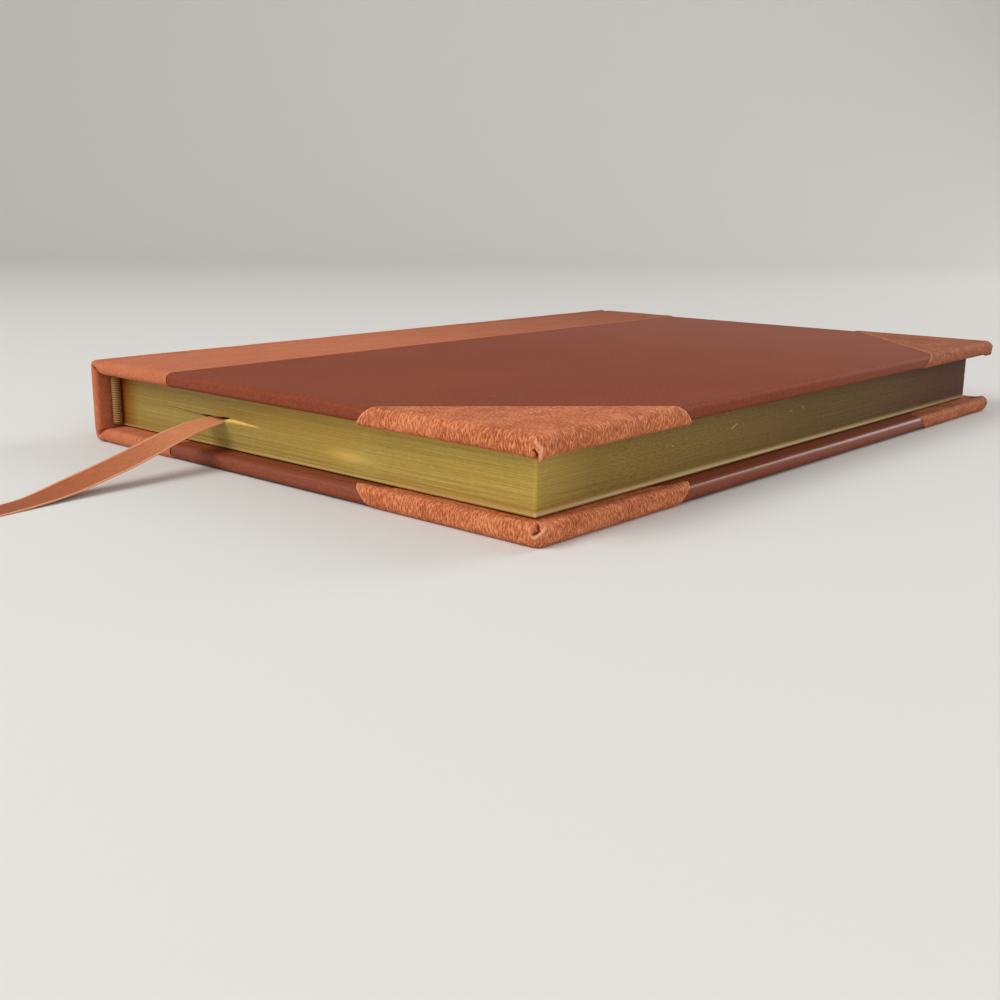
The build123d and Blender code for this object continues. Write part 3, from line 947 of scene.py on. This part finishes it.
def corner_cap(pleat, mirror, padding, end_gap, paleness, painted_head_shade, seed):
    """A cap on one corner, as distances in from the fore-edge, the end and the face.

    Rows go from the straight cut, over the face, round the edge and back in underneath.
    Columns go along the end, round the tip and along the fore-edge. Each row ends where
    the cut runs on over the edge, at 45 degrees and bowed out. The edge is padded by what
    is folded under it. The surface is then moved along its normal: down at the cut, in
    and out by wrinkles, out at the tip, and by the pleat's lips and furrows."""
    face = 1 - np.linspace(0, 1, face_rows) ** face_crowding
    quarter = np.linspace(0, np.pi / 2, arc_rows)
    flat = np.linspace(0, 1, flat_rows + 2)[1:-1]
    tuck = np.linspace(0, 1, tuck_rows + 1)[1:] ** tuck_crowding
    on_face, no_flat, no_tuck = np.ones(face_rows), np.zeros(flat_rows), np.zeros(tuck_rows)
    wall = cover_thickness + padding
    inset = np.concatenate(
        (
            edge_radius * on_face,
            edge_radius * (1 - np.sin(quarter[1:])),
            no_flat,
            inner_radius * (1 - np.cos(quarter)),
            inner_radius + tuck * (turn_in - inner_radius),
        )
    )
    depth = np.concatenate(
        (
            0 * on_face,
            edge_radius * (1 - np.cos(quarter[1:])),
            edge_radius + flat * (wall - edge_radius - inner_radius),
            wall - inner_radius * (1 - np.sin(quarter)),
            wall - padding * ease(inset[-tuck_rows:], inner_radius, padding_width),
        )
    )
    normal_out = np.concatenate(
        (0 * on_face, np.sin(quarter[1:]), 1 + no_flat, np.cos(quarter), no_tuck)
    )[:, None]
    normal_down = np.concatenate(
        (-on_face, -np.cos(quarter[1:]), no_flat, np.sin(quarter), 1 + no_tuck)
    )[:, None]
    steps = np.hypot(np.diff(inset), np.diff(depth))
    travel = np.concatenate(((0,), np.cumsum(steps)))
    wrapped = travel[-tuck_rows - 1]
    row_end = corner_leg - edge_radius + np.minimum(travel, 2 * wrapped - travel)
    row_end = row_end - end_gap * ease(travel, *gap_rise)
    row_end = row_end + cut_bulge * np.sin(np.pi * np.clip(travel / wrapped, 0, 1))
    row_end = row_end[:, None]

    centre = np.maximum(corner_radius, inset)[:, None]
    arm = row_end + (centre - row_end) * np.linspace(0, 1, straight_columns)
    turn = np.linspace(0, np.pi / 2, tip_columns)[1:-1]
    tip_place = np.repeat(corner_radius * (turn - np.pi / 4)[None, :], len(inset), axis=0)
    arm_place = -(arm - corner_radius) - corner_radius * np.pi / 4
    place = np.concatenate((arm_place, tip_place, -arm_place[:, ::-1]), axis=1)
    to_end = np.abs(row_end - arm) / np.sqrt(2)
    tip_to_end = np.repeat(to_end[:, -1:], len(turn), axis=1)
    to_cut = np.concatenate((to_end, tip_to_end, to_end[:, ::-1]), axis=1)
    to_cut[:face_rows] *= (1 - face)[:, None]

    over = travel[:, None]
    stretch = ease(travel, *stretch_rise) * (1 - ease(travel, wrapped, wrapped + stretch_fade))
    stretch[:face_rows] = face_stretch * (1 - face) ** 8
    creases = lattice_noise(place / crease_width + 300, over / crease_length + 9, seed)
    fine = lattice_noise(place / fine_crease_width + 70, over / fine_crease_length, seed + 1)
    move = wrinkle_height * stretch[:, None] * (creases + 0.5 * fine)
    bulk = ease(over, *bulk_rise) * (1 - ease(over, *bulk_fall))
    move = move + pleat_bulk * np.exp(-((place / pleat_spread) ** 2)) * bulk
    lips, painted_crease_shades = np.zeros_like(place), np.zeros_like(place)
    for corners, width, height, lip in pleat:
        field = stroke_field(mirror * place * 1000, over * 1000, corners, width)
        move = move + 0.001 * height * field
        lips = np.maximum(lips, lip * field)
        # Painted shade in the pleat's furrows.
        painted_crease_shades = np.maximum(painted_crease_shades, np.clip(-height, 0, 1) * field**2)
    move = move - cut_roll(to_cut, cut_lip)

    inset_moved = inset[:, None] - move * normal_out
    depth_moved = depth[:, None] + move * normal_down
    tip_end = straight_columns + len(turn)
    tip_inset = inset_moved[:, straight_columns:tip_end]
    tip_radius = np.maximum(corner_radius - tip_inset, 0)
    tip_centre = np.maximum(corner_radius, tip_inset)
    from_fore = np.concatenate(
        (arm, tip_centre - tip_radius * np.sin(turn), inset_moved[:, tip_end:]), axis=1
    )
    from_end = np.concatenate(
        (
            inset_moved[:, :straight_columns],
            tip_centre - tip_radius * np.cos(turn),
            arm[:, ::-1],
        ),
        axis=1,
    )
    gap = (corner_leg - from_fore[face_rows - 1] - from_end[face_rows - 1]) / 2
    spread = face[:, None] * np.clip(gap, 0, None)
    for distances in (from_fore, from_end):
        distances[:face_rows] = distances[face_rows - 1] + spread
    attributes = {
        "wrap": np.clip(stretch, 0, 1)[:, None],
        "raw": np.maximum(paleness * (1 - ease(to_cut, *cut_pale)), lips),
        "painted_crease_shade": painted_crease_shades,
        # Painted shade and haze on the head corners.
        "painted_head_shade": painted_head_shade,
    }
    return from_fore, from_end, depth_moved, attributes, on_grid(place, over)


corner_skin = tan_leather(
    "tan goatskin on the corners", "#6E331B", "#A5542F", "#DC8A5C", 0.36, (0.007, 0.007, 0.007)
)
# Each corner's pleat, its side, the padding, the gap at the end of the cut, the paleness
# of the cut, the painted shade and haze on the skin and the seed of the wrinkles.
corner_kinds = {
    ("front", "tail"): (front_pleat, 1, 0.0008, 0.00035, 0.6, 0.0, 21),
    ("front", "head"): (front_pleat, -1, 0.0002, 0.0, 0.2, 0.75, 33),
    ("back", "tail"): (back_pleat, 1, 0.0009, 0.0, 0.7, 0.0, 45),
    ("back", "head"): (back_pleat, -1, 0.0002, 0.0, 0.2, 0.4, 57),
}
for (cover, end), kind in corner_kinds.items():
    from_fore, from_end, depth, attributes, uv = corner_cap(*kind)
    x = fore_x - from_fore
    y = half_height - from_end if end == "head" else from_end - half_height
    z = book_thickness - depth if cover == "front" else depth
    cap = new_piece(
        f"{cover}_{end}_corner_leather",
        on_grid(x, y, z),
        grid_faces(*x.shape, flip=(end == "tail") == (cover == "front")),
        corner_skin,
        attributes,
        uv,
    )
    thicken(cap, skin_thickness, -1)
    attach(cap, f"{cover}_cover")
    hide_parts(f"{cover}_corner_{end}")


# Ribbon marker: a copper satin ribbon with paler selvedges, glued in by the head. Its
# free end comes out between the pages at the tail and falls to the table.
ribbon_width, ribbon_thickness = 0.007, 0.0003
ribbon_heading = np.radians(7.8)
ribbon_bias = 0.005
ribbon_rows, ribbon_strands, route_resolution = 140, 17, 16
ribbon_swell, selvedge_swell, selvedge_from = 0.36, 0.14, 0.9
warp_pitch, warp_length = 0.00025, 0.003
ribbon_route = [
    (-0.0075, 0.01065),
    (0.0015, 0.01065),
    (0.0125, 0.0088),
    (0.0240, 0.0057),
    (0.0360, 0.0031),
    (0.0475, 0.0010),
    (0.0570, 0.0002),
    (0.0660, 0.00016),
]
ribbon_tilt = ((0.0, 0.018, 0.027, 0.042, 0.052, 0.066), (3.0, 12.0, 14.5, 12.0, 2.0, 0.0))
# Painted shade along the ribbon, from none at the exit to full at the free end.
ribbon_painted_shade = ((0.0, 0.012, 0.022, 0.06), (0.0, 0.35, 0.65, 1.0))
cup_height, cup_rise, cup_fall = 0.00025, (0.002, 0.012), (0.04, 0.055)
table_gap = 0.00001
heading = np.array((np.sin(ribbon_heading), -np.cos(ribbon_heading), 0.0))
sideways = np.array((np.cos(ribbon_heading), np.sin(ribbon_heading), 0.0))
upward = np.array((0.0, 0.0, 1.0))


def smooth_route(points):
    """Points along the quadratic NURBS line that has the route's points as its controls."""
    curve = bpy.data.curves.new("route", "CURVE")
    curve.dimensions = "3D"
    line = curve.splines.new("NURBS")
    line.points.add(len(points) - 1)
    line.points.foreach_set("co", np.append(points, np.ones((len(points), 1)), axis=1).ravel())
    line.order_u = 3
    line.use_endpoint_u = True
    line.resolution_u = route_resolution
    holder = bpy.data.objects.new("route", curve)
    mesh = bpy.data.meshes.new_from_object(holder)
    places = np.empty(len(mesh.vertices) * 3)
    mesh.vertices.foreach_get("co", places)
    bpy.data.objects.remove(holder)
    bpy.data.curves.remove(curve)
    bpy.data.meshes.remove(mesh)
    return places.reshape(-1, 3)


def ribbon_band(line):
    """A flat closed section with thicker selvedges, carried along the line and tilted.

    It is slightly cupped where it hangs free, and stops at the table. The last stretch is
    cut on the slant: each strand across the width stops in turn."""
    steps = np.linalg.norm(np.diff(line, axis=0), axis=1)
    length = np.concatenate(((0,), np.cumsum(steps)))
    across = np.sin(np.linspace(-np.pi / 2, np.pi / 2, ribbon_strands))
    loop = np.concatenate((across, across[-2:0:-1]))
    face = np.concatenate((np.ones(ribbon_strands), -np.ones(ribbon_strands - 2)))
    face[[0, ribbon_strands - 1]] = 0
    swell = ribbon_swell + selvedge_swell * np.abs(loop) ** 6
    share = np.linspace(0, 1, ribbon_rows)[:, None]
    place = share * (length[-1] - ribbon_bias * (0.5 - loop / 2))
    centre = np.stack([np.interp(place, length, line[:, k]) for k in range(3)], axis=-1)
    fall = (centre - ribbon_exit) @ heading
    tilt = np.radians(np.interp(fall, *ribbon_tilt))[:, :, None]
    flat = np.cos(tilt) * sideways - np.sin(tilt) * upward
    lift = np.cos(tilt) * upward + np.sin(tilt) * sideways
    cup = cup_height * (np.abs(loop) ** 2 - 0.3)
    cup = cup * ease(fall, *cup_rise) * (1 - ease(fall, *cup_fall))
    points = (
        centre
        + flat * (loop * ribbon_width / 2)[:, None]
        + lift * (face * swell * ribbon_thickness)[:, None]
        + lift * cup[:, :, None]
    )
    points[:, :, 2] = np.maximum(points[:, :, 2], table_gap)
    attributes = {
        "selvedge": np.abs(loop) > selvedge_from,
        # Painted shade along the ribbon.
        "painted_shade_along": np.interp(fall, *ribbon_painted_shade),
    }
    uv = on_grid(loop * ribbon_width / 2, place)
    return points, tube_faces(*place.shape, flip=True), attributes, uv


# Satin: fine floating warp threads, so it has a soft lengthwise sheen, and it is painted
# darker from the exit towards the free end, as shade. Threads are drawn 0.25 mm apart, to
# show.
satin, add, shader, _ = new_material("copper satin ribbon")
surface = add("ShaderNodeUVMap", uv_map="surface")
warp = add("ShaderNodeMapping", {"Vector": surface, "Scale": (1 / warp_pitch, 1 / warp_length, 1.0)})
threads = add(
    "ShaderNodeTexNoise", {"Vector": warp, "Scale": 1.0, "Detail": 3.0, "Roughness": 0.6}
)
colour = add("ShaderNodeValToRGB", {"Fac": threads})
ramp_stops(colour, [(0.3, "#D28150"), (0.5, "#E49566"), (0.7, "#F3AA7D")])
# The first multiply is painted shade.
for label, over, blend in (("painted_shade_along", "#A87C50", "MULTIPLY"), ("selvedge", "#DE9C78", "MIX")):
    share = add("ShaderNodeAttribute", attribute_name=label).outputs["Fac"]
    colour = add(
        "ShaderNodeMix",
        {"Factor": share, 6: colour, 7: hex_colour(over)},
        data_type="RGBA",
        blend_type=blend,
    ).outputs[2]
weave = add("ShaderNodeBump", {"Height": threads, "Strength": 0.3, "Distance": 0.0001})
sheen = {"Roughness": 0.45, "Specular IOR Level": 0.3}
set_inputs(shader, {"Base Color": colour, "Normal": weave, **sheen})

route = [
    ribbon_exit + heading * along + upward * (height - page_middle)
    for along, height in ribbon_route
]
ribbon_line = smooth_route(route)
points, faces, attributes, uv = ribbon_band(ribbon_line)
ribbon = new_piece("ribbon_marker_band", points, faces, satin, attributes, uv)
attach(ribbon, "book_block")
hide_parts("ribbon_marker")


# Stage: a pale floor that sweeps up into a backdrop, a large soft lamp at the front left,
# a weak one at the right, a tall one behind, and the camera where the photograph was
# taken from.
floor_colour = "#DAD7D2"
floor_half, sweep_start, sweep_radius, backdrop_height = 2.0, 0.9, 0.5, 1.5
sweep_steps = 16
view_eye = (0.2122, -0.2715, 0.0617)
view_yaw, view_pitch, view_roll = np.radians((131.70, 13.77, 0.46))
view_lens, sensor_width, nearest_view = 43.97, 36.0, 0.01


def swept_backdrop():
    """A flat floor, a quarter-circle sweep and an upright wall, carried sideways.

    It is turned so that the wall stands behind the object as the camera sees it."""
    turn = np.linspace(0, np.pi / 2, sweep_steps)
    out = np.concatenate(((-floor_half,), sweep_start + sweep_radius * np.sin(turn)))
    out = np.append(out, sweep_start + sweep_radius)
    up = np.concatenate(((0.0,), sweep_radius * (1 - np.cos(turn)), (backdrop_height,)))
    side = np.array((-floor_half, floor_half))
    away = np.array((np.cos(view_yaw), np.sin(view_yaw)))
    left = np.array((-away[1], away[0]))
    flat = out[:, None, None] * away + side[None, :, None] * left
    height = np.broadcast_to(up[:, None, None], (len(up), 2, 1))
    return np.concatenate((flat, height), axis=-1), grid_faces(len(up), 2, flip=True)


# Floor paint: a matt pale coat that keeps the object's shadow.
floor_paint, _, shader, _ = new_material("pale painted floor")
set_inputs(shader, {"Base Color": hex_colour(floor_colour), "Roughness": 0.8})
floor = new_piece("floor", *swept_backdrop(), floor_paint)

ahead = np.array(
    (
        np.cos(view_yaw) * np.cos(view_pitch),
        np.sin(view_yaw) * np.cos(view_pitch),
        -np.sin(view_pitch),
    )
)
level = np.array((np.sin(view_yaw), -np.cos(view_yaw), 0.0))
above = np.cross(level, ahead)
right = level * np.cos(view_roll) + above * np.sin(view_roll)
top = above * np.cos(view_roll) - level * np.sin(view_roll)
lens = bpy.data.cameras.new("camera")
lens.lens = view_lens
lens.sensor_width = sensor_width
lens.clip_start = nearest_view
camera = bpy.data.objects.new("camera", lens)
bpy.context.scene.collection.objects.link(camera)
camera.matrix_world = Matrix.Translation(view_eye) @ Matrix(
    np.stack((right, top, -ahead), axis=-1).tolist()
).to_4x4()
bpy.context.scene.camera = camera

for name, place, width, height, power in (
    ("key_lamp", (-0.28, -0.93, 0.76), 0.7, 0.7, 10.3),
    ("fill_lamp", (1.00, -0.40, 0.45), 0.7, 0.7, 2.8),
    ("back_lamp", (0.35, 1.15, 0.57), 0.45, 1.05, 7.2),
):
    lamp = bpy.data.lights.new(name, "AREA")
    lamp.shape = "RECTANGLE"
    lamp.size = width
    lamp.size_y = height
    lamp.energy = power
    holder = bpy.data.objects.new(name, lamp)
    bpy.context.scene.collection.objects.link(holder)
    holder.location = place
    holder.rotation_mode = "QUATERNION"
    holder.rotation_quaternion = Vector(place).to_track_quat("Z", "Y")

world = bpy.data.worlds.new("studio")
world.use_nodes = True
sky = world.node_tree.nodes["Background"]
set_inputs(sky, {"Color": hex_colour("#E8E8E8"), "Strength": 0.5})
bpy.context.scene.world = world
bpy.context.scene.view_settings.view_transform = "Standard"
